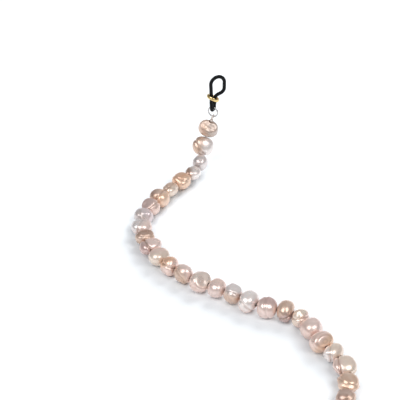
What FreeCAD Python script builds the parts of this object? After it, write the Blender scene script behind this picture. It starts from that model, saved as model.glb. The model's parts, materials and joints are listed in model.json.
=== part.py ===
import FreeCAD, Part
import math
import os
from FreeCAD import Placement, Rotation, Vector

# A pearl strap for eyeglasses, lying as it does when the glasses stand folded on a table.
# One beading wire carries all the pearls.  Each end of the wire has a crimp, a small wire
# eye, a jump ring and a rubber loop that grips a temple arm and is tightened by a slider.
#
# Frame: the origin is the middle of loop A's eye, where the temple arm goes through along
# +Y, and +Z is up.  Sizes are in mm and degrees.

SIZES = {
    # rubber loops
    "cord_dia": 1.5,
    "loop_inner_width": 4.7,
    "loop_inner_top": 3.2,
    "loop_shoulder_drop": 2.4,
    "loop_bend_inset": 1.0,
    "loop_bend_drop": 1.15,
    "leg_offset": 2.0,
    "leg_gap": 0.1,
    "leg_top_drop": 4.5,
    "leg_low_drop": 7.6,
    "bight_gap": 1.0,
    "bight_top_drop": 9.2,
    "bight_inner_drop": 10.1,
    "bight_twist": 37.0,
    # slider rings
    "slider_wire": 0.8,
    "slider_clearance": 0.13,
    "slider_tilt": 28.0,
    "slider_drop": 5.3,
    # jump rings, wire eyes and crimps
    "jump_wire": 0.6,
    "jump_mean_radius": 2.15,
    "hang_gap": 0.1,
    "eye_wire": 0.5,
    "eye_inner_radius": 0.7,
    "eye_foot_gap": 0.1,
    "eye_neck": 1.35,
    "eye_neck_straight": 0.37,
    "crimp_dia": 1.3,
    "crimp_length": 0.8,
    # beading wire and how it lies
    "wire_dia": 0.5,
    "table_drop": 37.4,
    "coil_outer_radius": 44.0,
    "coil_inner_radius": 26.75,
    "coil_turns": 1.8,
    "coil_start_angle": -25.0,
    "end_loop_slope": 7.8,
    # pearls
    "pearl_hole": 1.3,
    "pearl_gap": 0.12,
    "bend_gap": 0.7,
}

# Each jointed pearl: its length along the wire, its width and its height.
PEARL_SIZES = [
    (7.4, 8.5, 6.4), (8.2, 9.0, 6.2), (6.2, 6.3, 6.8), (6.8, 6.4, 5.4), (7.6, 7.5, 6.5),
    (7.3, 5.7, 5.2), (7.2, 8.2, 7.2), (6.6, 7.5, 6.7), (6.5, 7.6, 6.2), (7.4, 8.0, 5.8),
    (5.4, 7.5, 5.2), (6.6, 8.8, 5.6), (7.0, 8.1, 6.1), (6.3, 6.8, 7.2), (7.2, 6.0, 7.2),
    (7.3, 8.0, 7.2), (6.2, 7.4, 6.3), (6.4, 6.7, 6.6), (6.5, 8.4, 7.2), (7.1, 7.3, 7.2),
    (5.8, 8.0, 7.2), (5.2, 6.4, 7.2), (7.3, 7.6, 7.1), (6.2, 8.4, 7.0), (5.4, 7.8, 5.6),
    (7.4, 7.9, 5.4), (7.0, 7.2, 5.4), (5.8, 6.2, 5.2),
]

# The wire's route after crimp A: x, y and the height above the table.  The last point of
# ROUTE_START leads into the coil, and ROUTE_TAIL leads from the coil to crimp B.
ROUTE_START = [
    (-4.9, 1.7, 13.1), (-7.4, -1.9, 6.1), (-12.6, -7.2, 3.6), (-26.5, -13.9, 3.6),
    (-38.2, -21.3, 3.6), (-48.6, -30.6, 3.6), (-50.8, -43.5, 3.6), (-49.6, -58.0, 3.6),
    (-45.0, -70.5, 3.6), (-36.0, -81.8, 3.6), (-28.8, -95.4, 3.6), (-20.8, -100.6, 3.6),
    (-18.0, -109.0, 3.6), (-19.6, -119.2, 3.7), (-16.0, -129.0, 3.2), (-20.2, -138.6, 3.2),
    (-29.6, -148.4, 3.4), (-38.6, -160.6, 3.6), (-48.0, -175.6, 3.6),
]
COIL_CENTRE = Vector(-95.0, -172.5, 0)
COIL_POINTS_PER_TURN = 14
LYING_HEIGHT = 3.6
ROUTE_TAIL = [
    (-71.8, -159.0, 3.6), (-70.3, -166.7, 3.6), (-72.6, -174.3, 3.6),
    (-79.2, -179.0, 3.6), (-87.0, -178.1, 3.6),
]
PEARLS_PER_SECTION = 7

doc = FreeCAD.newDocument("eyeglass_strap")
sheet = doc.addObject("Spreadsheet::Sheet", "Sizes")
nodes = []
tube_checks = []


def fill_sheet():
    """Put every driving dimension in its own named cell."""
    cells = dict(SIZES)
    for number, pearl in enumerate(PEARL_SIZES, 1):
        for word, value in zip(("long", "wide", "tall"), pearl):
            cells[f"pearl_{number:02d}_{word}"] = value
    for row, (alias, value) in enumerate(cells.items(), 1):
        sheet.set(f"A{row}", alias)
        sheet.set(f"B{row}", str(value))
        sheet.setAlias(f"B{row}", alias)
    doc.recompute()


def size(alias):
    return float(sheet.get(alias))


def bind(obj, **expressions):
    """Bind properties to expressions of the sheet's cells."""
    for prop, expression in expressions.items():
        obj.setExpression(prop, expression)


def add_node(obj, label):
    obj.Label = label
    nodes.append(obj)
    return obj


# ---------------------------------------------------------------- tubes along a route

def corner_arc(before, corner, after):
    """Start, middle and end of the tangent arc at a corner, and its radius."""
    heading_in = (corner - before).normalize()
    heading_out = (after - corner).normalize()
    half_turn = heading_in.getAngle(heading_out) / 2
    reach = 0.45 * min((corner - before).Length, (after - corner).Length)
    radius = reach / math.tan(half_turn)
    inward = (heading_out - heading_in).normalize()
    middle = corner + inward * (radius / math.cos(half_turn) - radius)
    return corner - heading_in * reach, middle, corner + heading_out * reach, radius


def open_route(points):
    """Edges of straight runs joined by tangent arcs, and the arcs' radii."""
    edges, radii, at = [], [], points[0]
    for before, corner, after in zip(points, points[1:], points[2:]):
        start, middle, end, radius = corner_arc(before, corner, after)
        edges += [Part.LineSegment(at, start).toShape(), Part.Arc(start, middle, end).toShape()]
        radii.append(radius)
        at = end
    edges.append(Part.LineSegment(at, points[-1]).toShape())
    return edges, radii


def closed_route(points):
    """Edges of a closed route, starting with the arc at the first point."""
    count = len(points)
    arcs = [corner_arc(points[i - 1], points[i], points[(i + 1) % count]) for i in range(count)]
    edges = []
    for i, (start, middle, end, _) in enumerate(arcs):
        edges.append(Part.Arc(start, middle, end).toShape())
        edges.append(Part.LineSegment(end, arcs[(i + 1) % count][0]).toShape())
    return edges


def tube(name, edges, diameter):
    """A round tube swept along edges; diameter is the alias of its size."""
    route = doc.addObject("Part::Feature", f"{name}_route")
    route.Shape = Part.Wire(edges)
    first = edges[0]
    section = doc.addObject("Part::Circle", f"{name}_section")
    bind(section, Radius=f"Sizes.{diameter} / 2")
    heading = first.tangentAt(first.FirstParameter)
    section.Placement = Placement(first.valueAt(first.FirstParameter),
                                  Rotation(Vector(0, 0, 1), heading))
    sweep = doc.addObject("Part::Sweep", name)
    sweep.Sections = [section]
    sweep.Spine = (route, [f"Edge{i + 1}" for i in range(len(edges))])
    sweep.Solid = True
    sweep.Frenet = False
    area = math.pi * size(diameter) ** 2 / 4
    tube_checks.append((sweep, area * sum(edge.Length for edge in edges)))
    return sweep


# ---------------------------------------------------------------- hardware of one end

def leg_centre(drop):
    return Vector(-size("leg_offset"), 0, -drop)


def bight_direction():
    """Across the bight's two legs, and along the jump ring's axis."""
    twist = math.radians(size("bight_twist"))
    return Vector(math.cos(twist), math.sin(twist), 0)


def loop_outline():
    """Corner points of the rubber loop's centre line: eye, legs and bight."""
    dia = size("cord_dia")
    side = (size("loop_inner_width") + dia) / 2
    top = size("loop_inner_top") + dia / 2
    cut = side * math.tan(math.radians(22.5))
    shoulder = -size("loop_shoulder_drop")
    half_pitch = (dia + size("leg_gap")) / 2
    right, left = half_pitch - size("leg_offset"), -half_pitch - size("leg_offset")
    leg_top, leg_low = -size("leg_top_drop"), -size("leg_low_drop")
    eye = [
        Vector(left, 0, leg_top), Vector(-side, 0, top + cut - side),
        Vector(-cut, 0, top), Vector(cut, 0, top), Vector(side, 0, top + cut - side),
        Vector(side, 0, shoulder),
        Vector(side - size("loop_bend_inset"), 0, shoulder - size("loop_bend_drop")),
        Vector(right, 0, leg_top), Vector(right, 0, leg_low),
    ]
    radius = (dia + size("bight_gap")) / 2
    across = bight_direction()
    bottom = size("bight_inner_drop") + dia / 2
    slant = radius * math.tan(math.radians(22.5))
    half_bight = [(radius, size("bight_top_drop")), (radius, bottom - radius + slant),
                  (slant, bottom)]
    bight = [leg_centre(drop) + across * out for out, drop in half_bight]
    bight += [leg_centre(drop) - across * out for out, drop in reversed(half_bight)]
    return eye + bight + [Vector(left, 0, leg_low)]


def temple_loop(name, frame):
    """The rubber cord loop, swept in two lengths that join end to end."""
    edges = closed_route(loop_outline())
    half = len(edges) // 4 * 2
    halves = [tube(f"{name}_{word}", part, "cord_dia")
              for word, part in (("eye", edges[:half]), ("bight", edges[half:]))]
    loop = doc.addObject("Part::MultiFuse", name)
    loop.Shapes = halves
    loop.Refine = False
    loop.Placement = frame
    return add_node(loop, name)


def slider_ring(name, frame):
    """The ring that slides along the loop's two legs, sitting askew on them."""
    ring = doc.addObject("Part::Torus", name)
    bind(ring, Radius1="((2 * Sizes.cord_dia + Sizes.leg_gap) / 2 + Sizes.slider_clearance"
                       " + Sizes.slider_wire / 2) / cos(Sizes.slider_tilt * 1deg)",
         Radius2="Sizes.slider_wire / 2")
    askew = Placement(leg_centre(size("slider_drop")),
                      Rotation(Vector(0, 1, 0), size("slider_tilt")))
    ring.Placement = frame * askew
    return add_node(ring, name)


def jump_ring_centre():
    """The ring hangs in the bight by the top of its own wire."""
    rise = size("hang_gap") + size("jump_wire") / 2 - size("jump_mean_radius")
    return leg_centre(size("bight_inner_drop") - rise)


def jump_ring(name, frame):
    ring = doc.addObject("Part::Torus", name)
    bind(ring, Radius1="Sizes.jump_mean_radius", Radius2="Sizes.jump_wire / 2")
    hanging = Placement(jump_ring_centre(), Rotation(Vector(0, 0, 1), bight_direction()))
    ring.Placement = frame * hanging
    return add_node(ring, name)


def eye_centre():
    """The wire eye hangs on the bottom of the jump ring."""
    drop = (size("jump_mean_radius") - size("jump_wire") / 2
            - size("hang_gap") + size("eye_inner_radius"))
    return jump_ring_centre() - Vector(0, 0, drop)


def eye_frame(wire_heading):
    """Eye's own frame: origin in its middle, +Z away from the wire, +Y through its hole."""
    ring_tangent = Vector(0, 0, 1).cross(bight_direction())
    through = (ring_tangent - wire_heading * ring_tangent.dot(wire_heading)).normalize()
    away = wire_heading * -1
    return Placement(eye_centre(), Rotation(through.cross(away), through, away, "ZYX"))


def wire_eye(name, frame):
    """A bent wire eye whose two feet stand on the crimp."""
    radius = size("eye_inner_radius") + size("eye_wire") / 2
    slant = radius * math.tan(math.radians(22.5))
    foot = (size("eye_wire") + size("eye_foot_gap")) / 2
    neck = size("eye_neck")
    half = [(foot, -neck), (foot, size("eye_neck_straight") - neck), (radius, -slant),
            (radius, slant), (slant, radius)]
    points = [Vector(x, 0, z) for x, z in half] + [Vector(-x, 0, z) for x, z in reversed(half)]
    edges, _ = open_route(points)
    eye = tube(name, edges, "eye_wire")
    eye.Placement = frame
    return add_node(eye, name)


def crimp(name, frame):
    """The crimp: the eye's feet stand on one end face and the beading wire on the other."""
    barrel = doc.addObject("Part::Cylinder", name)
    bind(barrel, Radius="Sizes.crimp_dia / 2", Height="Sizes.crimp_length")
    seat = Vector(0, 0, -size("eye_neck") - size("crimp_length"))
    barrel.Placement = frame * Placement(seat, Rotation())
    return add_node(barrel, name)


def crimp_outlet(frame):
    """Where the beading wire leaves the crimp."""
    return frame.multVec(Vector(0, 0, -size("eye_neck") - size("crimp_length")))


def build_end(letter, frame, loop_frame, wire_heading):
    """All hardware of one end.  wire_heading points from the eye into the wire."""
    eye_place = frame * eye_frame(wire_heading)
    temple_loop(f"temple_loop_{letter}", loop_frame)
    slider_ring(f"slider_ring_{letter}", loop_frame)
    jump_ring(f"jump_ring_{letter}", frame)
    wire_eye(f"wire_eye_{letter}", eye_place)
    crimp(f"crimp_{letter}", eye_place)


# ---------------------------------------------------------------- beading wire

def on_table(x, y, height):
    return Vector(x, y, height - size("table_drop"))


def coil_points():
    """A flat spiral that winds inwards, clockwise from above."""
    count = round(size("coil_turns") * COIL_POINTS_PER_TURN)
    points = []
    for i in range(count + 1):
        angle = math.radians(size("coil_start_angle") - 360 * i / COIL_POINTS_PER_TURN)
        outer, inner = size("coil_outer_radius"), size("coil_inner_radius")
        radius = outer + (inner - outer) * i / count
        points.append(on_table(COIL_CENTRE.x + radius * math.cos(angle),
                               COIL_CENTRE.y + radius * math.sin(angle), LYING_HEIGHT))
    return points


def wire_route():
    """All corner points of the beading wire, from crimp A to crimp B."""
    start = [on_table(*point) for point in ROUTE_START]
    tail = [on_table(*point) for point in ROUTE_TAIL]
    heading = (start[0] - eye_centre()).normalize()
    outlet = crimp_outlet(eye_frame(heading))
    return heading, [outlet] + start + coil_points() + tail


class Walk:
    """Finds points of a route by their distance along it."""

    def __init__(self, edges):
        self.edges = edges
        self.length = sum(edge.Length for edge in edges)

    def point(self, distance):
        for edge in self.edges:
            if distance <= edge.Length or edge is self.edges[-1]:
                break
            distance -= edge.Length
        return edge.valueAt(edge.getParameterByLength(min(distance, edge.Length)))


# ---------------------------------------------------------------- pearls

def pearl_place(walk, start, length):
    """A pearl is drilled straight, so its hole follows the chord of the wire inside it."""
    entry, middle, exit_ = (walk.point(start + length * share) for share in (0, 0.5, 1))
    chord_middle = (entry + exit_) * 0.5
    along = (exit_ - entry).normalize()
    hanging = abs(along.z) > 0.7
    up = Vector(-0.42, -0.91, 0) if hanging else Vector(0, 0, 1)
    place = Placement((middle + chord_middle) * 0.5, Rotation(up.cross(along), up, along, "ZYX"))
    return place, (middle - chord_middle).Length / 2


def hole_heading(place):
    return place.Rotation.multVec(Vector(0, 0, 1))


def next_start(walk, end, heading, length):
    """Neighbours nearly touch, and stand further apart where the strand bends."""
    ahead, _ = pearl_place(walk, end + size("pearl_gap"), length)
    turn = heading.getAngle(hole_heading(ahead))
    return end + size("pearl_gap") + size("bend_gap") * turn


def pearl(name, model, place):
    """One drilled pearl, sized by the cells of the numbered model."""
    body = doc.addObject("Part::Ellipsoid", f"{name}_body")
    body.Angle1 = -90
    body.Angle2 = 90
    cell = f"Sizes.pearl_{model:02d}"
    bind(body, Radius1=f"{cell}_long / 2", Radius2=f"{cell}_wide / 2", Radius3=f"{cell}_tall / 2")
    hole = doc.addObject("Part::Cylinder", f"{name}_hole")
    bind(hole, Radius="Sizes.pearl_hole / 2", Height=f"{cell}_long + 2")
    hole.Placement = Placement(Vector(0, 0, -size(f"pearl_{model:02d}_long") / 2 - 1), Rotation())
    drilled = doc.addObject("Part::Cut", name)
    drilled.Base = body
    drilled.Tool = hole
    drilled.Placement = place
    return drilled


def string_pearls(walk):
    """String pearls along the whole wire; a pearl that the far crimp stops is left out."""
    number, end, section, worst = 1, 0, [], 0
    heading = hole_heading(pearl_place(walk, 0, size("pearl_01_long"))[0])
    while True:
        model = (number - 1) % len(PEARL_SIZES) + 1
        length = size(f"pearl_{model:02d}_long")
        start = next_start(walk, end, heading, length)
        if start + length > walk.length:
            break
        place, offset = pearl_place(walk, start, length)
        worst = max(worst, offset)
        if number <= len(PEARL_SIZES):
            add_node(pearl(f"pearl_{number:02d}", model, place), f"pearl_{number:02d}")
        else:
            section.append(pearl(f"strung_{number}", model, place))
        if len(section) == PEARLS_PER_SECTION:
            strand_section(section)
            section = []
        end, heading = start + length, hole_heading(place)
        number += 1
    if section:
        strand_section(section)
    clearance = (size("pearl_hole") - size("wire_dia")) / 2 - worst
    left = walk.length - end
    print(f"{number - 1} pearls, {left:.2f} mm of wire left, {clearance:.2f} mm around the wire")


def strand_section(pearls):
    """Several neighbouring pearls as one sub-part."""
    count = sum(1 for node in nodes if node.Label.startswith("strand_section"))
    name = f"strand_section_{count + 1:02d}"
    group = doc.addObject("Part::Compound", name)
    group.Links = pearls
    add_node(group, name)


# ---------------------------------------------------------------- the whole strap

def end_b_frames(route):
    """End B lies on its side past the wire's end, and its loop slopes down to the table."""
    onward = (route[-1] - route[-2]).normalize()
    up = Vector(0, 0, 1)
    lying = Rotation(up.cross(onward), up, onward, "ZYX")
    straight = Vector(0, 0, -1)
    outlet = crimp_outlet(eye_frame(straight))
    frame = Placement(route[-1] - lying.multVec(outlet), lying)
    tip = Rotation(bight_direction(), size("end_loop_slope"))
    centre = jump_ring_centre()
    return straight, frame, frame * Placement(centre - tip.multVec(centre), tip)


def check_and_write():
    """Refuse a failed object or a bad shape, then write one file per sub-part."""
    doc.recompute()
    failed = [obj.Name for obj in doc.Objects
              if any(word in obj.State for word in ("Invalid", "Error"))]
    failed += [obj.Label for obj in nodes if obj.Shape.isNull() or not obj.Shape.isValid()]
    for sweep, expected in tube_checks:
        if abs(sweep.Shape.Volume - expected) > 0.01 * expected:
            failed.append(f"{sweep.Name} volume")
    if failed:
        raise RuntimeError(f"failed: {failed}")
    os.makedirs("parts", exist_ok=True)
    for obj in nodes:
        obj.Shape.exportStep(f"parts/{obj.Label}.step")
    print(len(nodes), "sub-parts written")


fill_sheet()
heading_a, route = wire_route()
build_end("a", Placement(), Placement(), heading_a)
wire_edges, wire_radii = open_route(route)
add_node(tube("beading_wire", wire_edges, "wire_dia"), "beading_wire")
heading_b, frame_b, loop_frame_b = end_b_frames(route)
build_end("b", frame_b, loop_frame_b, heading_b)
string_pearls(Walk(wire_edges))
print("wire radii:", ", ".join(f"{radius:.1f}" for radius in wire_radii))
print(f"wire length {sum(edge.Length for edge in wire_edges):.1f} mm")
check_and_write()
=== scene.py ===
import json
import math
import bmesh
import bpy
import numpy as np
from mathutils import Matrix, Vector

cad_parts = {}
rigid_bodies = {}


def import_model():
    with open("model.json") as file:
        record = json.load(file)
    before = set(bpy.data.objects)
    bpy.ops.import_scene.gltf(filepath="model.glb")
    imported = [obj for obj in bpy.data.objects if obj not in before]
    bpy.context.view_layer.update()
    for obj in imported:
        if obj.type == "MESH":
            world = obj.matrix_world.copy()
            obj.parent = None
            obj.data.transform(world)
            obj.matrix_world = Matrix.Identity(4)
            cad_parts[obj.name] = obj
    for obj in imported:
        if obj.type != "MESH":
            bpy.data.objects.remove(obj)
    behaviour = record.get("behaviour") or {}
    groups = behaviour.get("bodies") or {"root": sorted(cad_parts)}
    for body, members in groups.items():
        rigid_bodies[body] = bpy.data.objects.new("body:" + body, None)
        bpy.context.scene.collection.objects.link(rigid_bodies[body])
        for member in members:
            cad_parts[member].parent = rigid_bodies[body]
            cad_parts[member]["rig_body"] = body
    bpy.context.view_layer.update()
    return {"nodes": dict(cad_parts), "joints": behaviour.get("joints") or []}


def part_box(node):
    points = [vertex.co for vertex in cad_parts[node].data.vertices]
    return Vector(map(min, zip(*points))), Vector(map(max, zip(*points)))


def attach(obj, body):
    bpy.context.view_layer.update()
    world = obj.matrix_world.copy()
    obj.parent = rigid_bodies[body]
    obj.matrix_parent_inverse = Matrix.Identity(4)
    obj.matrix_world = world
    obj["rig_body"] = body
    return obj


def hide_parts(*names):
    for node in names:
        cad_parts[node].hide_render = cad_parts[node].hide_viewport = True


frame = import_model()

# A pearl strap for eyeglasses: baroque pearls on one wire, with a rubber loop at each end.
# Everything is in metres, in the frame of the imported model; lists in mm say so.
MM = 0.001
TABLE = -37.4 * MM

# ---------------------------------------------------------------- camera

CAMERA_PLACE = Vector((-0.15433, -0.31393, 0.18753))
LOOK = Vector((0.34619, 0.74240, -0.57358)).normalized()
RIGHT = LOOK.cross(Vector((0, 0, 1))).normalized()
UP = RIGHT.cross(LOOK)
SENSOR, LENS = 36, 86.4


def add_camera():
    data = bpy.data.cameras.new("camera")
    data.sensor_width = SENSOR
    data.lens = LENS
    camera = bpy.data.objects.new("camera", data)
    camera.location = CAMERA_PLACE
    camera.rotation_euler = LOOK.to_track_quat("-Z", "Y").to_euler()
    bpy.context.scene.collection.objects.link(camera)
    bpy.context.scene.camera = camera


def facing(right, up, toward):
    """A direction given as the viewer sees it, in the model's axes."""
    return np.array((RIGHT * right + UP * up - LOOK * toward).normalized())


add_camera()

# ---------------------------------------------------------------- beading wire

# Route after crimp A in mm: x, y and the height above the table.
ROUTE_START = [
    (-4.9, 1.7, 13.1), (-7.4, -1.9, 6.1), (-12.6, -7.2, 3.6), (-26.5, -13.9, 3.6),
    (-38.2, -21.3, 3.6), (-48.6, -30.6, 3.6), (-50.8, -43.5, 3.6), (-49.6, -58.0, 3.6),
    (-45.0, -70.5, 3.6), (-36.0, -81.8, 3.6), (-28.8, -95.4, 3.6), (-20.8, -100.6, 3.6),
    (-18.0, -109.0, 3.6), (-19.6, -119.2, 3.7), (-16.0, -129.0, 3.2), (-20.2, -138.6, 3.2),
    (-29.6, -148.4, 3.4), (-38.6, -160.6, 3.6), (-48.0, -175.6, 3.6),
]
ROUTE_TAIL = [
    (-71.8, -159.0, 3.6), (-70.3, -166.7, 3.6), (-72.6, -174.3, 3.6),
    (-79.2, -179.0, 3.6), (-87.0, -178.1, 3.6),
]
COIL_CENTRE = (-95.0, -172.5)
COIL_OUTER, COIL_INNER = 44.0, 26.75
COIL_TURNS, COIL_POINTS_PER_TURN = 1.8, 14
COIL_START_ANGLE = -25
LYING_HEIGHT = 3.6
WIRE_DIAMETER = 0.5 * MM
CRIMP_LENGTH = 0.8 * MM


def on_table(x, y, height):
    return Vector((x, y, height)) * MM + Vector((0, 0, TABLE))


def coil_points():
    """A flat spiral that winds inwards, clockwise from above."""
    count = round(COIL_TURNS * COIL_POINTS_PER_TURN)
    for i in range(count + 1):
        angle = math.radians(COIL_START_ANGLE - 360 * i / COIL_POINTS_PER_TURN)
        radius = COIL_OUTER + (COIL_INNER - COIL_OUTER) * i / count
        yield on_table(COIL_CENTRE[0] + radius * math.cos(angle),
                       COIL_CENTRE[1] + radius * math.sin(angle), LYING_HEIGHT)


def node_middle(node):
    low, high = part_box(node)
    return (low + high) / 2


def crimp_outlet(first_point):
    """The middle of crimp A's lower face, where the wire comes out."""
    middle = node_middle("crimp_a")
    return middle + (first_point - middle).normalized() * CRIMP_LENGTH / 2


def add_wire():
    start = [on_table(*point) for point in ROUTE_START]
    tail = [on_table(*point) for point in ROUTE_TAIL]
    outlet = crimp_outlet(start[0])
    points = [outlet] + start + list(coil_points()) + tail
    curve = bpy.data.curves.new("bead_wire", "CURVE")
    curve.dimensions = "3D"
    spline = curve.splines.new("NURBS")
    spline.points.add(len(points) - 1)
    for control, point in zip(spline.points, points):
        control.co = (*point, 1)
        control.radius = WIRE_DIAMETER / 2
    spline.order_u = 3
    spline.use_endpoint_u = True
    spline.resolution_u = 12
    wire = bpy.data.objects.new("bead_wire", curve)
    bpy.context.scene.collection.objects.link(wire)
    bpy.context.view_layer.update()
    line = bpy.data.meshes.new_from_object(wire)
    path = np.array([vertex.co for vertex in line.vertices])
    bpy.data.meshes.remove(line)
    curve.bevel_depth = 1
    curve.bevel_resolution = 3
    curve.use_fill_caps = True
    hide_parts("beading_wire")
    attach(wire, "strap")
    return wire, path


wire, wire_path = add_wire()

# ---------------------------------------------------------------- materials


def new_material(name):
    material = bpy.data.materials.new(name)
    material.use_nodes = True
    return material, material.node_tree, material.node_tree.nodes["Principled BSDF"]


def add(tree, kind, **inputs):
    node = tree.nodes.new(kind)
    for key, value in inputs.items():
        node.inputs[key.replace("_", " ")].default_value = value
    return node


def noise(tree, scale, detail=3.0, roughness=0.5):
    """A noise over the piece's own coordinates; scale is in features per metre."""
    place = tree.nodes.new("ShaderNodeTexCoord")
    node = add(tree, "ShaderNodeTexNoise", Scale=scale, Detail=detail, Roughness=roughness)
    tree.links.new(place.outputs["Object"], node.inputs["Vector"])
    return node.outputs["Fac"]


def spread(tree, value, low, high, from_low=0.3, from_high=0.7):
    node = tree.nodes.new("ShaderNodeMapRange")
    for key, number in (("From Min", from_low), ("From Max", from_high),
                        ("To Min", low), ("To Max", high)):
        node.inputs[key].default_value = number
    tree.links.new(value, node.inputs["Value"])
    return node.outputs["Result"]


def blend_colours(tree, share, first, second):
    """Each argument is a value or another node's output."""
    node = tree.nodes.new("ShaderNodeMix")
    node.data_type = "RGBA"
    for socket, value in ((0, share), (6, first), (7, second)):
        if isinstance(value, bpy.types.NodeSocket):
            tree.links.new(value, node.inputs[socket])
        else:
            node.inputs[socket].default_value = value
    return node.outputs[2]


def bump(tree, shader, *layers):
    """Layers are (height socket, strength, depth in metres)."""
    last = None
    for height, strength, depth in layers:
        node = add(tree, "ShaderNodeBump", Strength=strength, Distance=depth)
        tree.links.new(height, node.inputs["Height"])
        if last:
            tree.links.new(last, node.inputs["Normal"])
        last = node.outputs["Normal"]
    tree.links.new(last, shader.inputs["Normal"])


def nacre_material():
    """Pearl nacre: the tone and the painted shade of the creases, dents and hole mouth come with
    the mesh, the fine mottling from noise.
    """
    material, tree, shader = new_material("nacre")
    tone = tree.nodes.new("ShaderNodeAttribute")
    tone.attribute_name = "tone"
    crease = tree.nodes.new("ShaderNodeAttribute")
    crease.attribute_name = "crease"
    cloudy = noise(tree, 330, 3.0)
    mottled = noise(tree, 1500, 4.0, 0.6)
    pale = blend_colours(tree, spread(tree, cloudy, 0.0, 0.4, 0.45, 0.75),
                         tone.outputs["Color"], (0.80, 0.66, 0.60, 1))
    rosy = blend_colours(tree, spread(tree, noise(tree, 210, 2.0), 0.0, 0.35, 0.5, 0.8),
                         pale, (0.58, 0.40, 0.36, 1))
    flecked = blend_colours(tree, spread(tree, mottled, 0.0, 0.18), rosy, (0.90, 0.80, 0.74, 1))
    # Painted shade: the crease attribute darkens creases, dents, growth-ring troughs and the
    # hole mouth towards dark brown.
    dark = blend_colours(tree, crease.outputs["Fac"], flecked, (0.40, 0.25, 0.18, 1))
    tree.links.new(dark, shader.inputs["Base Color"])
    tree.links.new(spread(tree, cloudy, 0.26, 0.38), shader.inputs["Roughness"])
    shader.inputs["Metallic"].default_value = 0.55
    shader.inputs["IOR"].default_value = 1.6
    shader.inputs["Specular IOR Level"].default_value = 0.6
    shader.inputs["Coat Weight"].default_value = 0.45
    shader.inputs["Coat Roughness"].default_value = 0.18
    shader.inputs["Subsurface Weight"].default_value = 0.08
    shader.inputs["Subsurface Radius"].default_value = (1.0, 0.6, 0.5)
    shader.inputs["Subsurface Scale"].default_value = 0.6 * MM
    bump(tree, shader, (noise(tree, 520, 3.0), 0.22, 0.2 * MM), (mottled, 0.08, 0.1 * MM))
    return material


def metal_material(name, colour, low, high, scratches):
    material, tree, shader = new_material(name)
    worn = noise(tree, 900, 4.0)
    shade = blend_colours(tree, spread(tree, worn, 0.0, 0.35), (*colour, 1),
                          tuple(0.55 * part for part in colour) + (1,))
    tree.links.new(shade, shader.inputs["Base Color"])
    tree.links.new(spread(tree, worn, low, high), shader.inputs["Roughness"])
    shader.inputs["Metallic"].default_value = 1.0
    bump(tree, shader, (noise(tree, 3000, 5.0), scratches, 0.03 * MM))
    return material


def rubber_material():
    """Black rubber cord with a fine moulded grain and scattered lighter grey specks."""
    material, tree, shader = new_material("loop_rubber")
    grain = noise(tree, 5200, 3.0, 0.65)
    # Lighter grey specks where the grain noise is high.
    grey_specks = blend_colours(tree, spread(tree, grain, 0.0, 0.4, 0.7, 0.88),
                         (0.003, 0.003, 0.0035, 1), (0.12, 0.11, 0.10, 1))
    tree.links.new(grey_specks, shader.inputs["Base Color"])
    tree.links.new(spread(tree, noise(tree, 700), 0.28, 0.5), shader.inputs["Roughness"])
    shader.inputs["Specular IOR Level"].default_value = 0.16
    bump(tree, shader, (grain, 0.6, 0.1 * MM), (noise(tree, 1400, 2.0), 0.3, 0.2 * MM))
    return material


def floor_material():
    material, tree, shader = new_material("floor")
    shade = blend_colours(tree, noise(tree, 3.0, 2.0),
                          (0.88, 0.91, 0.935, 1), (0.86, 0.89, 0.915, 1))
    tree.links.new(shade, shader.inputs["Base Color"])
    shader.inputs["Roughness"].default_value = 0.7
    shader.inputs["Specular IOR Level"].default_value = 0.2
    return material


NACRE = nacre_material()
RUBBER = rubber_material()
GOLD = metal_material("slider_gold", (0.90, 0.66, 0.30), 0.10, 0.22, 0.25)
SILVER = metal_material("ring_silver", (0.62, 0.60, 0.59), 0.05, 0.14, 0.2)
CRIMP_SILVER = metal_material("crimp_silver", (0.80, 0.70, 0.64), 0.18, 0.34, 0.4)
STEEL = metal_material("wire_steel", (0.62, 0.59, 0.57), 0.2, 0.4, 0.4)


def paint(piece, material):
    piece.data.materials.clear()
    piece.data.materials.append(material)


paint(wire, STEEL)

# ---------------------------------------------------------------- pearl looks

TONES = {
    "white": (244, 235, 231), "silver": (226, 217, 215), "rose": (240, 214, 205),
    "blush": (236, 206, 194), "peach": (238, 200, 172), "apricot": (232, 180, 144),
    "cream": (240, 220, 202), "tan": (212, 178, 154), "bronze": (172, 136, 116),
    "mauve": (204, 172, 166), "plum": (176, 144, 140), "lavender": (222, 206, 208),
    "grey": (198, 188, 186), "sand": (226, 208, 196),
    "taupe": (178, 160, 148),
}


def tone(name):
    """A tone as linear colour."""
    return np.array([(part / 255) ** 2.2 for part in TONES[name]])


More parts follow.
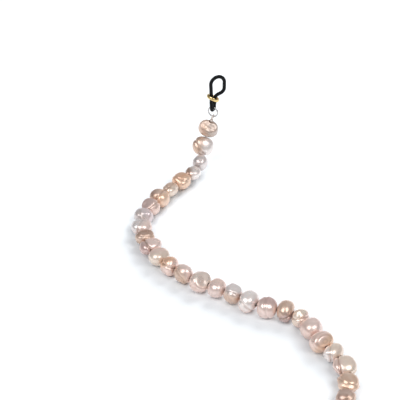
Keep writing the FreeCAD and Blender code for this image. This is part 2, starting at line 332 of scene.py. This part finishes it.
# Each look: main tone, second tone and the side where it lies, then marks on the surface.
# Directions are right, up and toward the viewer.  A mark is (kind, direction, place, size):
# lobe and dent swell or sink a patch as wide as place; crease and ridge run round the pearl
# at the offset place across the direction; rings are place ridges round the direction;
# flat cuts a facet, taper swells one side into an egg shape, and bend curves the pearl.
LOOKS = [
    ("taupe", "tan", (-1, 0.1, 0.2), [
        ("flat", (0.1, 0.1, 1), 0, 0.24), ("ridge", (0.1, 0.1, 1), 0.6, 0.04),
        ("crease", (0.5, 0.8, 0.2), 0.25, 0.02), ("crease", (0.7, -0.6, 0.5), 0.2, 0.02),
        ("rings", (0.3, -0.2, 0.9), 5, 0.012)]),
    ("white", "tan", (-1, 0.3, 0.1), [
        ("crease", (0.8, 0.5, 0.3), -0.3, 0.09), ("lobe", (0.9, 0.2, 0.5), 0.6, 0.12),
        ("lobe", (-0.9, 0.1, 0.5), 0.5, 0.07), ("taper", (-1, 0, 0.2), 0, 0.12),
        ("dent", (0.1, -0.6, 0.8), 0.3, 0.05)]),
    ("silver", "grey", (-0.8, -0.5, 0.2), [
        ("lobe", (0.4, 0.5, 0.7), 0.7, 0.04), ("dent", (0.1, 0.2, 1), 0.3, 0.05)]),
    ("white", "bronze", (-0.8, 0.1, 0.3), [
        ("lobe", (0.6, 0.1, 0.7), 0.5, 0.12), ("crease", (0.9, 0.1, 0.3), -0.2, 0.07),
        ("lobe", (-0.6, 0.2, 0.7), 0.4, 0.08), ("taper", (0.8, 0.1, 0.3), 0, 0.1)]),
    ("peach", "apricot", (-0.4, 0.7, 0.2), [
        ("lobe", (-0.6, 0.4, 0.7), 0.4, 0.1), ("lobe", (0.7, 0.4, 0.5), 0.4, 0.1),
        ("lobe", (0.2, -0.6, 0.8), 0.4, 0.09), ("dent", (0.1, 0.2, 1), 0.3, 0.08),
        ("crease", (0.3, 0.9, 0.2), 0.35, 0.05)]),
    ("cream", "tan", (-0.6, 0.7, 0.0), [
        ("crease", (0.3, 0.9, 0.1), 0.3, 0.07), ("crease", (-0.5, 0.8, 0.2), 0.5, 0.05),
        ("lobe", (0.3, -0.2, 0.9), 0.6, 0.08), ("taper", (0.7, -0.4, 0.2), 0, 0.1)]),
    ("peach", "bronze", (-0.8, 0.6, 0.1), [
        ("crease", (0.75, -0.6, 0.1), -0.1, 0.15), ("lobe", (-0.8, 0.5, 0.4), 0.6, 0.11),
        ("lobe", (0.7, -0.5, 0.5), 0.6, 0.12)]),
    ("blush", "mauve", (-0.7, 0.7, 0.2), [
        ("crease", (0.6, -0.75, 0.1), 0.1, 0.13), ("lobe", (0.8, -0.5, 0.4), 0.5, 0.1),
        ("flat", (-0.4, 0.5, 0.8), 0, 0.22), ("ridge", (-0.4, 0.5, 0.8), 0.65, 0.04)]),
    ("lavender", "grey", (-0.6, -0.3, 0.5), [
        ("lobe", (0.5, 0.5, 0.7), 0.35, 0.13), ("lobe", (-0.5, 0.1, 0.9), 0.35, 0.12),
        ("lobe", (0.3, -0.6, 0.8), 0.3, 0.08), ("dent", (0.1, 0.1, 1), 0.3, 0.08),
        ("crease", (0.8, 0.5, 0.2), 0.1, 0.05)]),
    ("silver", "rose", (0.8, -0.5, 0.3), [
        ("lobe", (-0.6, 0.3, 0.7), 0.45, 0.08), ("crease", (0.9, -0.2, 0.2), 0.0, 0.07),
        ("taper", (0.2, -0.9, 0), 0, 0.07)]),
    ("tan", "bronze", (-0.1, 1, 0.1), [
        ("crease", (0.1, 0.9, 0.3), 0.45, 0.06), ("lobe", (-0.2, 0.1, 1), 0.5, 0.06)]),
    ("rose", "mauve", (-0.8, -0.5, 0.2), [
        ("crease", (0.75, 0.6, 0.0), -0.15, 0.19), ("lobe", (0.7, 0.6, 0.4), 0.6, 0.1),
        ("lobe", (-0.7, -0.5, 0.5), 0.5, 0.08)]),
    ("cream", "blush", (-0.2, 0.9, 0.0), [
        ("lobe", (-0.4, 0.1, 0.9), 0.7, 0.07), ("dent", (0.5, 0.4, 0.8), 0.4, 0.06)]),
    ("blush", "apricot", (-0.5, 0.8, 0.0), [
        ("crease", (0.4, 0.8, 0.2), 0.15, 0.13), ("lobe", (0.1, 0.7, 0.7), 0.4, 0.1),
        ("lobe", (0.3, -0.7, 0.6), 0.5, 0.08), ("bend", (0.9, 0.3, 0), 0, 0.15)]),
    ("rose", "tan", (-0.8, -0.5, 0.2), [
        ("crease", (0.8, 0.5, 0.1), -0.25, 0.08), ("lobe", (0.5, 0.6, 0.6), 0.6, 0.08),
        ("taper", (0.4, 0.8, 0), 0, 0.08)]),
    ("sand", "blush", (-0.6, -0.7, 0.1), [
        ("flat", (0.45, 0.3, 0.85), 0, 0.3), ("ridge", (0.45, 0.3, 0.85), 0.5, 0.05),
        ("lobe", (0.3, 0.2, 0.9), 0.2, 0.03)]),
    ("rose", "blush", (0.3, 0.9, 0.0), [
        ("lobe", (0.3, 0.4, 0.8), 0.7, 0.05), ("taper", (-0.7, -0.4, 0.2), 0, 0.08)]),
    ("tan", "silver", (0.2, 0.9, 0.2), [
        ("flat", (0.3, 0.8, 0.5), 0, 0.18), ("crease", (0.3, 0.9, 0.0), 0.1, 0.08),
        ("crease", (0.8, 0.2, 0.5), -0.1, 0.05)]),
    ("rose", "white", (0.1, 0.4, 0.9), [
        ("crease", (0.65, 0.7, 0.1), -0.4, 0.09), ("lobe", (-0.4, -0.8, 0.4), 0.5, 0.08),
        ("lobe", (0.1, 0.5, 0.8), 0.7, 0.04)]),
    ("rose", "mauve", (0.2, 1, 0.0), [
        ("ridge", (0.9, 0.1, 0.3), 0.3, 0.03), ("crease", (0.9, 0.1, 0.3), 0.05, 0.04)]),
    ("tan", "plum", (0.3, -0.9, 0.2), [
        ("crease", (-0.4, 0.85, 0.3), -0.25, 0.17), ("lobe", (0.2, -0.8, 0.5), 0.4, 0.08),
        ("lobe", (0.0, 0.7, 0.6), 0.6, 0.08)]),
    ("cream", "blush", (0.7, -0.5, 0.0), [
        ("lobe", (-0.2, 0.7, 0.6), 0.35, 0.2), ("crease", (-0.1, 0.9, 0.2), 0.3, 0.11),
        ("taper", (-0.1, 0.9, 0.1), 0, 0.1)]),
    ("rose", "blush", (-0.8, -0.4, 0.1), [
        ("lobe", (0.2, 0.3, 0.9), 0.8, 0.05), ("dent", (0.7, 0.3, 0.5), 0.3, 0.04)]),
    ("peach", "blush", (-0.7, 0.7, 0.0), [
        ("rings", (0.35, 0.1, 0.9), 7, 0.022), ("flat", (0.35, 0.1, 0.9), 0, 0.12)]),
    ("white", "cream", (0.5, 0.5, 0.2), [
        ("lobe", (-0.6, 0.3, 0.7), 0.35, 0.2), ("crease", (0.85, 0.1, 0.2), -0.25, 0.1),
        ("bend", (0.2, 0.9, 0), 0, 0.2)]),
    ("cream", "blush", (-0.9, -0.3, 0.1), [
        ("crease", (0.85, 0.3, 0.2), -0.4, 0.16), ("lobe", (-0.9, 0.0, 0.4), 0.4, 0.1),
        ("crease", (-0.2, 0.8, 0.6), -0.2, 0.08), ("bend", (-0.2, 1, 0), 0, 0.14),
        ("taper", (0.2, -0.9, 0), 0, 0.07)]),
    ("peach", "tan", (0.0, 1, 0.0), [
        ("crease", (0.2, 0.9, 0.3), 0.35, 0.06), ("ridge", (0.2, 0.9, 0.3), 0.0, 0.07),
        ("crease", (0.2, 0.9, 0.3), -0.4, 0.06)]),
    ("tan", "bronze", (-0.6, 0.7, 0.1), [
        ("lobe", (0.4, 0.5, 0.7), 0.6, 0.08), ("crease", (0.6, -0.7, 0.1), 0.1, 0.06)]),
]
# Exponent of the rounded form: 2 is an ellipsoid, more is fuller.
PLUMPNESS = 2.3
# Width of a crease or ridge, and how sharply a facet meets the rest.
BAND_WIDTH = 0.11
FACET_SHARPNESS = 25
# Painted shade on the surface: how dark the dents, creases and growth rings are painted.
DENT_SHADE, CREASE_SHADE, RING_SHADE, DARKEST_SHADE = 0.15, 4.5, 0.3, 0.85
# Small random lumps: how many, how high, and how wide.
LUMP_COUNT, LUMP_SIZE, LUMP_WIDTHS = 9, 0.035, (0.04, 0.25)
# The hole's mouth: its radius, the lip's radius and depth, and its painted shade.
HOLE_RADIUS = 0.6 * MM
CAD_HOLE_RADIUS = 0.65 * MM
LIP_RATIO, LIP_DEPTH, LIP_SHADE = 1.25, 0.97, 0.9
# Where the second tone starts and how wide its edge is.
TONE_START, TONE_SCATTER, TONE_EDGE = 0.05, 0.15, 0.7
# Rings along the hole and points round each.
JOINTED_GRID, SECTION_GRID = (64, 72), (40, 44)
HANGING_UP = Vector((-0.42, -0.91, 0))

# ---------------------------------------------------------------- pearl shapes


def unit(vectors):
    return vectors / np.linalg.norm(vectors, axis=-1, keepdims=True)


def grid_faces(rows, columns, open_rows=0):
    """Four-cornered faces of a grid that closes on itself both ways.

    open_rows leaves out that many rows of faces at the end, where it doesn't close."""
    row, column = np.meshgrid(np.arange(rows - open_rows), np.arange(columns), indexing="ij")
    ahead, beside = (row + 1) % rows, (column + 1) % columns
    faces = np.stack([row * columns + column, row * columns + beside,
                      ahead * columns + beside, ahead * columns + column], axis=-1)
    return faces.reshape(-1, 4)


def pearl_axes(along):
    """Across, up and along the hole: the same frame as the drilled body has."""
    along = Vector(along).normalized()
    up = HANGING_UP if abs(along.z) > 0.7 else Vector((0, 0, 1))
    up = (up - along * up.dot(along)).normalized()
    return np.array([up.cross(along), up, along])


def half_sizes(points, axes):
    """Middle and half sizes of a drilled ellipsoid from its vertices."""
    local = points @ axes.T
    low, high = local.min(axis=0), local.max(axis=0)
    half = (high - low) / 2
    half[2] /= math.sqrt(1 - (CAD_HOLE_RADIUS / max(half[:2])) ** 2)
    return (low + high) / 2 @ axes, half


def surface(directions, half, axes, marks, rng):
    """The surface over the directions of the unit ball, and the shade painted into its creases,
    dents and ring troughs.
    """
    factor = (np.abs(directions) ** PLUMPNESS).sum(axis=-1) ** (-1 / PLUMPNESS)
    # Painted shade, raised in the dents, creases and growth-ring troughs.
    painted_shade = np.zeros(factor.shape)
    shift = np.zeros(directions.shape)
    for kind, toward, place, amount in marks:
        pole = unit(half * (axes @ facing(*toward)))
        across = directions @ pole
        if kind in ("lobe", "dent"):
            patch = np.exp(-(np.arccos(np.clip(across, -1, 1)) / place) ** 2)
            factor += amount * patch * (1 if kind == "lobe" else -1)
            painted_shade += DENT_SHADE * patch * (kind == "dent")
        elif kind == "flat":
            facet = (1 - amount) / np.maximum(across, 0.05)
            factor = -np.log(np.exp(-FACET_SHARPNESS * factor)
                             + np.exp(-FACET_SHARPNESS * facet)) / FACET_SHARPNESS
        elif kind == "taper":
            factor *= 1 + amount * across
        elif kind == "bend":
            shift -= amount * pole * directions[..., 2:] ** 2
        elif kind == "rings":
            wave = np.cos(np.arccos(np.clip(across, -1, 1)) * 2 * place)
            fade = np.clip(across + 0.3, 0, 1)
            factor += amount * wave * fade
            painted_shade += RING_SHADE * np.clip(-wave, 0, 1) * fade
        else:
            band = np.exp(-((across - place) / BAND_WIDTH) ** 2)
            factor += amount * band * (1 if kind == "ridge" else -1)
            painted_shade += CREASE_SHADE * amount * band ** 2 * (kind == "crease")
    for pole in unit(rng.normal(size=(LUMP_COUNT, 3))):
        height = rng.normal() * LUMP_SIZE
        factor += height * np.exp(-(1 - directions @ pole) / rng.uniform(*LUMP_WIDTHS))
    return directions * factor[..., None] + shift, painted_shade


def pearl_parts(centre, half, axes, look, seed, grid):
    """Vertices, faces, tones and painted crease shade of one drilled pearl."""
    rng = np.random.default_rng(seed)
    rings, segments = grid
    main, second, side, marks = look
    lip = math.asin(LIP_RATIO * HOLE_RADIUS / min(half[:2]))
    theta = np.linspace(lip, math.pi - lip, rings)[:, None]
    phi = np.arange(segments)[None, :] * 2 * math.pi / segments
    directions = np.stack([np.sin(theta) * np.cos(phi), np.sin(theta) * np.sin(phi),
                           np.cos(theta) + 0 * phi], axis=-1)
    local, painted_shade = surface(directions, half, axes, marks, rng)
    low, high = local.min(axis=(0, 1)), local.max(axis=(0, 1))
    local *= 2 * half / (high - low)
    local[..., 1:] -= ((low + high) / (high - low) * half)[1:]
    for ring, way in ((0, 1), (-1, -1)):
        drift = local[ring, :, :2].mean(axis=0)
        local[..., :2] -= drift * np.clip(way * directions[..., 2:], 0, 1) ** 6
    ends = []
    for ring in (local[0], local[-1]):
        edge = np.stack([HOLE_RADIUS * np.cos(phi[0]), HOLE_RADIUS * np.sin(phi[0]),
                         np.full(segments, ring[:, 2].mean() * LIP_DEPTH)], axis=-1)
        ends.append(edge[None])
    local = np.concatenate([ends[0], local, ends[1]])
    toward = unit(half * (axes @ facing(*side)))
    reach = directions @ toward + TONE_START + TONE_SCATTER * rng.normal()
    share = np.clip(reach / TONE_EDGE, 0, 1)[..., None]
    share = share * share * (3 - 2 * share)
    tones = tone(main) * (1 - share) + tone(second) * share
    tones = np.concatenate([tones[:1], tones, tones[-1:]])
    # Painted shade at the mouth of the hole.
    mouth = np.full((1, segments), LIP_SHADE)
    painted_shade = np.concatenate([mouth, painted_shade, mouth])
    faces = grid_faces(rings + 2, segments)[:, [0, 3, 2, 1]]
    return (local.reshape(-1, 3) @ axes + centre, faces,
            tones.reshape(-1, 3), np.clip(painted_shade.reshape(-1), 0, DARKEST_SHADE))


def pearl_piece(name, parts, body, node):
    """One mesh object from the parts of one or more pearls."""
    vertices, faces, tones, painted_shade, count = [], [], [], [], 0
    # depth here is the painted crease shade of each pearl.
    for points, quads, colours, depth in parts:
        vertices.append(points)
        faces.append(quads + count)
        tones.append(colours)
        painted_shade.append(depth)
        count += len(points)
    mesh = bpy.data.meshes.new(name)
    mesh.from_pydata(np.concatenate(vertices).tolist(), [], np.concatenate(faces).tolist())
    colour = mesh.attributes.new("tone", "FLOAT_COLOR", "POINT")
    linear = np.concatenate(tones)
    colour.data.foreach_set("color", np.column_stack([linear, np.ones(len(linear))]).ravel())
    # The crease attribute carries the painted shade of creases, dents, ring troughs and hole
    # mouths.
    depth = mesh.attributes.new("crease", "FLOAT", "POINT")
    depth.data.foreach_set("value", np.concatenate(painted_shade))
    mesh.shade_smooth()
    mesh.update()
    piece = bpy.data.objects.new(name, mesh)
    bpy.context.scene.collection.objects.link(piece)
    paint(piece, NACRE)
    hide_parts(node)
    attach(piece, body)


def node_points(node):
    mesh = frame["nodes"][node].data
    points = np.zeros(len(mesh.vertices) * 3)
    mesh.vertices.foreach_get("co", points)
    return points.reshape(-1, 3)


def islands(node):
    """The vertices of each separate solid of a node."""
    mesh = frame["nodes"][node].data
    points, same = np.unique(np.round(node_points(node), 7), axis=0, return_inverse=True)
    edges = np.zeros(len(mesh.edges) * 2, dtype=np.int64)
    mesh.edges.foreach_get("vertices", edges)
    edges = same.reshape(-1)[edges].reshape(-1, 2)
    label = np.arange(len(points))
    while True:
        lowest = label.copy()
        smaller = np.minimum(label[edges[:, 0]], label[edges[:, 1]])
        np.minimum.at(lowest, edges[:, 0], smaller)
        np.minimum.at(lowest, edges[:, 1], smaller)
        lowest = lowest[lowest]
        if (lowest == label).all():
            return [points[label == name] for name in np.unique(label)]
        label = lowest


# The stretch of wire that gives its heading: its reach, and the most points each way.
HEADING_REACH, HEADING_STEPS = 3 * MM, 20


def wire_heading(middle):
    """The wire's direction inside a pearl that has this middle, and its place on the wire."""
    nearest = int(np.argmin(np.linalg.norm(wire_path - middle, axis=1)))
    reach = np.linalg.norm(wire_path - wire_path[nearest], axis=1) < HEADING_REACH
    near = [i for i in np.flatnonzero(reach) if abs(i - nearest) < HEADING_STEPS]
    return unit(wire_path[near[-1]] - wire_path[near[0]]), nearest


def add_jointed_pearls():
    for joint in frame["joints"]:
        node = joint["child"]
        if not node.startswith("pearl_"):
            continue
        number = int(node[-2:])
        axes = pearl_axes(joint["axis"])
        centre, half = half_sizes(node_points(node), axes)
        parts = pearl_parts(centre, half, axes, LOOKS[number - 1], number, JOINTED_GRID)
        pearl_piece(f"baroque_pearl_{number:02d}", [parts], node, node)


def add_strand_sections():
    number = len(LOOKS)
    for node in sorted(name for name in frame["nodes"] if name.startswith("strand_section")):
        found = []
        for points in islands(node):
            heading, place = wire_heading((points.min(axis=0) + points.max(axis=0)) / 2)
            found.append((place, heading, points))
        parts = []
        for place, heading, points in sorted(found, key=lambda item: item[0]):
            axes = pearl_axes(heading)
            centre, half = half_sizes(points, axes)
            look = LOOKS[number % len(LOOKS)]
            number += 1
            parts.append(pearl_parts(centre, half, axes, look, number, SECTION_GRID))
        pearl_piece(f"pearls_{node}", parts, "strap", node)


add_jointed_pearls()
add_strand_sections()

# ---------------------------------------------------------------- hardware

# Half the radial and axial thickness of a slider band and of a jump ring, and their section.
SLIDER_WALL, SLIDER_HEIGHT = 0.42 * MM, 0.66 * MM
RING_WALL = 0.3 * MM
RING_SEAM, SEAM_AT = math.radians(4), math.radians(200)
RING_STEPS, RING_SECTION, SECTION_FULLNESS = 96, 20, 0.8
# The crimp: its rows and points round, and its lip and pinch.
CRIMP_ROWS, CRIMP_POINTS = 21, 28
LIP_ROUNDING, LIP_POWER = 0.22, 10
PINCH_LENGTH, PINCH_WIDE, PINCH_FLAT = 0.45, 0.04, 0.32


def hardware_piece(name, node, vertices, faces, material):
    mesh = bpy.data.meshes.new(name)
    mesh.from_pydata(vertices.reshape(-1, 3).tolist(), [], faces)
    mesh.validate()
    shape = bmesh.new()
    shape.from_mesh(mesh)
    bmesh.ops.recalc_face_normals(shape, faces=shape.faces)
    shape.to_mesh(mesh)
    shape.free()
    mesh.shade_smooth()
    piece = bpy.data.objects.new(name, mesh)
    bpy.context.scene.collection.objects.link(piece)
    paint(piece, material)
    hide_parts(node)
    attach(piece, frame["nodes"][node]["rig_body"])


def rounded(wave):
    """A sine or cosine made fuller, for a section between an ellipse and a rectangle."""
    return np.sign(wave) * np.abs(wave) ** SECTION_FULLNESS


def swept_ring(name, node, wall, height, seam, material):
    """A ring in place of a torus node: its section is wall by height, and seam is its slit."""
    points = node_points(node)
    centre = (points.min(axis=0) + points.max(axis=0)) / 2
    across, beside, axis = np.linalg.svd(points - centre, full_matrices=False)[2]
    reach = np.hypot((points - centre) @ across, (points - centre) @ beside)
    mean = (reach.max() + reach.min()) / 2
    turn = SEAM_AT + np.linspace(seam / 2, 2 * math.pi - seam / 2, RING_STEPS, endpoint=seam > 0)
    out = np.cos(turn)[:, None] * across + np.sin(turn)[:, None] * beside
    angle = np.arange(RING_SECTION) * 2 * math.pi / RING_SECTION
    wide = mean + wall * rounded(np.cos(angle))
    tall = height * rounded(np.sin(angle))
    vertices = centre + out[:, None, :] * wide[None, :, None] + axis * tall[None, :, None]
    faces = grid_faces(RING_STEPS, RING_SECTION, 1 if seam else 0).tolist()
    if seam:
        last = (RING_STEPS - 1) * RING_SECTION
        faces.append(list(range(RING_SECTION))[::-1])
        faces.append(list(range(last, last + RING_SECTION)))
    hardware_piece(name, node, vertices, faces, material)


def squeezed_crimp(name, node, axis, material):
    """A crimp tube pinched flat in the middle by the pliers, with rounded lips."""
    centre = np.array(node_middle(node))
    axis = unit(np.array(axis))
    offsets = node_points(node) - centre
    along_axis = offsets @ axis
    half = along_axis.max()
    radius = np.linalg.norm(offsets - np.outer(along_axis, axis), axis=1).max()
    side = unit(np.cross(axis, (0.3, 0.8, 0.5)))
    front = np.cross(axis, side)
    along = np.linspace(-1, 1, CRIMP_ROWS)
    pinch = np.exp(-(along / PINCH_LENGTH) ** 2)
    lip = 1 - LIP_ROUNDING * np.abs(along) ** LIP_POWER
    angle = np.arange(CRIMP_POINTS) * 2 * math.pi / CRIMP_POINTS
    wide = radius * lip * (1 - PINCH_WIDE * pinch)
    flat = radius * lip * (1 - PINCH_FLAT * pinch)
    vertices = (centre + axis * (half * along)[:, None, None]
                + side * (wide[:, None] * np.cos(angle))[..., None]
                + front * (flat[:, None] * np.sin(angle))[..., None])
    faces = grid_faces(CRIMP_ROWS, CRIMP_POINTS, 1).tolist()
    last = (CRIMP_ROWS - 1) * CRIMP_POINTS
    faces.append(list(range(CRIMP_POINTS)))
    faces.append(list(range(last, last + CRIMP_POINTS)))
    hardware_piece(name, node, vertices, faces, material)


for end, wire_axis in (("a", wire_path[1] - wire_path[0]),
                       ("b", wire_path[-1] - wire_path[-2])):
    paint(frame["nodes"][f"temple_loop_{end}"], RUBBER)
    paint(frame["nodes"][f"wire_eye_{end}"], CRIMP_SILVER)
    swept_ring(f"slider_band_{end}", f"slider_ring_{end}", SLIDER_WALL, SLIDER_HEIGHT, 0, GOLD)
    swept_ring(f"split_ring_{end}", f"jump_ring_{end}", RING_WALL, RING_WALL, RING_SEAM, SILVER)
    squeezed_crimp(f"squeezed_crimp_{end}", f"crimp_{end}", wire_axis, CRIMP_SILVER)

# ---------------------------------------------------------------- floor and light

FLOOR_HALF = 1.5
SUBJECT = Vector((-0.035, -0.065, -0.034))


def add_floor():
    mesh = bpy.data.meshes.new("floor")
    corners = [(x, y, TABLE) for x, y in
               ((-FLOOR_HALF, -FLOOR_HALF), (FLOOR_HALF, -FLOOR_HALF),
                (FLOOR_HALF, FLOOR_HALF), (-FLOOR_HALF, FLOOR_HALF))]
    mesh.from_pydata(corners, [], [(0, 1, 2, 3)])
    floor = bpy.data.objects.new("floor", mesh)
    bpy.context.scene.collection.objects.link(floor)
    paint(floor, floor_material())


def add_softbox(name, right, back, height, width, watts, mirrored=True):
    """A square softbox aimed at the strap; its place is given as the viewer sees it."""
    ahead = Vector((LOOK.x, LOOK.y, 0)).normalized()
    data = bpy.data.lights.new(name, "AREA")
    data.shape = "SQUARE"
    data.size = width
    data.energy = watts
    light = bpy.data.objects.new(name, data)
    light.location = SUBJECT + RIGHT * right + ahead * back + Vector((0, 0, height))
    light.rotation_euler = (SUBJECT - light.location).to_track_quat("-Z", "Y").to_euler()
    light.visible_glossy = mirrored
    bpy.context.scene.collection.objects.link(light)


def add_world():
    world = bpy.data.worlds.new("world")
    world.use_nodes = True
    background = world.node_tree.nodes["Background"]
    background.inputs["Color"].default_value = (0.81, 0.84, 0.88, 1)
    background.inputs["Strength"].default_value = 0.32
    bpy.context.scene.world = world


add_floor()
add_softbox("softbox_left", -0.28, -0.26, 0.46, 0.40, 1.8)
add_softbox("softbox_right", 0.26, -0.28, 0.46, 0.30, 1.1)
add_softbox("softbox_back", 0.26, 0.46, 0.38, 0.42, 4.0, mirrored=False)
add_world()
bpy.context.scene.view_settings.view_transform = "Standard"

bpy.context.view_layer.update()
